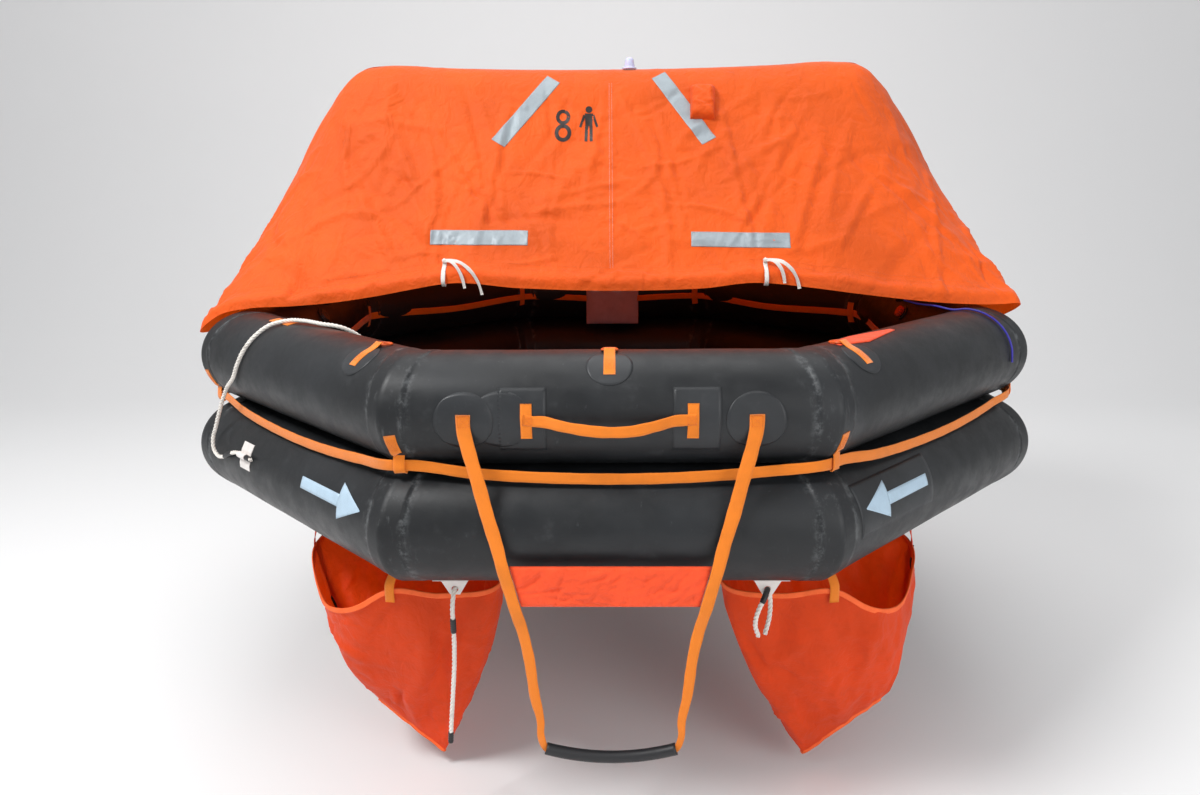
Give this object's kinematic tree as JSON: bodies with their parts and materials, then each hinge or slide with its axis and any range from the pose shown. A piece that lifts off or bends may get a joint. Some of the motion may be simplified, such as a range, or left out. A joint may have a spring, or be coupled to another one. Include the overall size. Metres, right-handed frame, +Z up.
{
  "type": "inflated liferaft",
  "caption": "Inflated canopied liferaft with two stacked octagonal tubes, arch-held orange canopy, boarding ladder, lifelines, ballast bags, painter and drogue line.",
  "frame": {"origin": "centre of the floor's underside", "axes": "+Z up, -Y towards the entrance and the boarding ladder, +X to the right of someone who looks in at the entrance"},
  "size_m": [2.5176, 2.5163, 1.9358],
  "materials": {
    "tube_rubber": "matte",
    "canopy_cloth": "coated",
    "bag_cloth": "coated",
    "webbing": "woven",
    "white_tape": "woven",
    "reflective_tape": "retroreflective",
    "rope": "laid",
    "black_rubber": "matte",
    "clear_plastic": "clear",
    "lamp_plastic": "translucent",
    "valve_plastic": "moulded",
    "cap_plastic": "moulded",
    "cylinder_paint": "satin",
    "head_brass": "machined",
    "ring_steel": "drawn",
    "lead_sheath": "smooth"
  },
  "bodies": {
    "body": {"lower_buoyancy_tube": "tube_rubber", "upper_buoyancy_tube": "tube_rubber", "raft_floor": "tube_rubber", "arch_tube": "tube_rubber", "canopy_front": "canopy_cloth", "canopy_rear": "canopy_cloth", "door_flap_roll": "canopy_cloth", "door_tie_left": "white_tape", "door_tie_right": "white_tape", "reflective_tape_upper_left": "reflective_tape", "reflective_tape_upper_right": "reflective_tape", "reflective_tape_lower_left": "reflective_tape", "reflective_tape_lower_right": "reflective_tape", "radar_reflector_sleeve": "canopy_cloth", "ridge_lamp": "lamp_plastic", "document_pouch": "clear_plastic", "outer_lifeline": "webbing", "lifeline_tab_1": "webbing", "lifeline_tab_2": "webbing", "lifeline_tab_3": "webbing", "lifeline_tab_4": "webbing", "lifeline_tab_5": "webbing", "lifeline_tab_6": "webbing", "lifeline_tab_7": "webbing", "lifeline_tab_8": "webbing", "inner_lifeline": "webbing", "grab_handle_patch_left": "webbing", "grab_handle_patch_right": "webbing", "grab_handle": "webbing", "ladder_webbing": "webbing", "ladder_rung": "black_rubber", "ladder_step": "bag_cloth", "closing_tab_left": "webbing", "closing_tab_middle": "webbing", "closing_tab_right": "webbing", "painter_patch": "white_tape", "painter_rope": "rope", "painter_coil": "rope", "tow_patch_left": "white_tape", "tow_patch_right": "white_tape", "drogue_line": "rope", "tow_rope_loop": "rope", "ballast_bag_front_left": "bag_cloth", "ballast_bag_front_right": "bag_cloth", "ballast_bag_rear_left": "bag_cloth", "ballast_bag_rear_right": "bag_cloth", "gas_cylinder": "cylinder_paint", "cylinder_head": "head_brass", "cylinder_sling": "black_rubber", "inflation_hoses": "black_rubber", "topping_up_valve_upper": "valve_plastic", "relief_valve_upper": "valve_plastic", "topping_up_valve_lower": "valve_plastic", "relief_valve_lower": "valve_plastic", "lamp_lead": "lead_sheath"},
    "ring_left": {"closing_ring_left": "ring_steel"},
    "ring_middle": {"closing_ring_middle": "ring_steel"},
    "ring_right": {"closing_ring_right": "ring_steel"},
    "cap_upper": {"valve_cap_upper": "cap_plastic"},
    "cap_lower": {"valve_cap_lower": "cap_plastic"}
  },
  "joints": [
    {"name": "closing_ring_left_swing", "type": "hinge", "parent": "body", "child": "ring_left", "pos_m": [-0.54325, -1.01361, 0.54929], "axis": [0.7071, -0.7071, 0], "range_deg": [0, 150]},
    {"name": "closing_ring_middle_swing", "type": "hinge", "parent": "body", "child": "ring_middle", "pos_m": [0, -1.10087, 0.54929], "axis": [1, 0, 0], "range_deg": [0, 150]},
    {"name": "closing_ring_right_swing", "type": "hinge", "parent": "body", "child": "ring_right", "pos_m": [0.54325, -1.01361, 0.54929], "axis": [0.7071, 0.7071, 0], "range_deg": [0, 150]},
    {"name": "valve_cap_upper_turn", "type": "hinge", "parent": "body", "child": "cap_upper", "pos_m": [0.96975, -0.12, 0.47895], "axis": [-0.866, 0, 0.5], "continuous": true},
    {"name": "valve_cap_lower_turn", "type": "hinge", "parent": "body", "child": "cap_lower", "pos_m": [0.95891, -0.12, 0.142], "axis": [-1, 0, 0], "continuous": true}
  ]
}
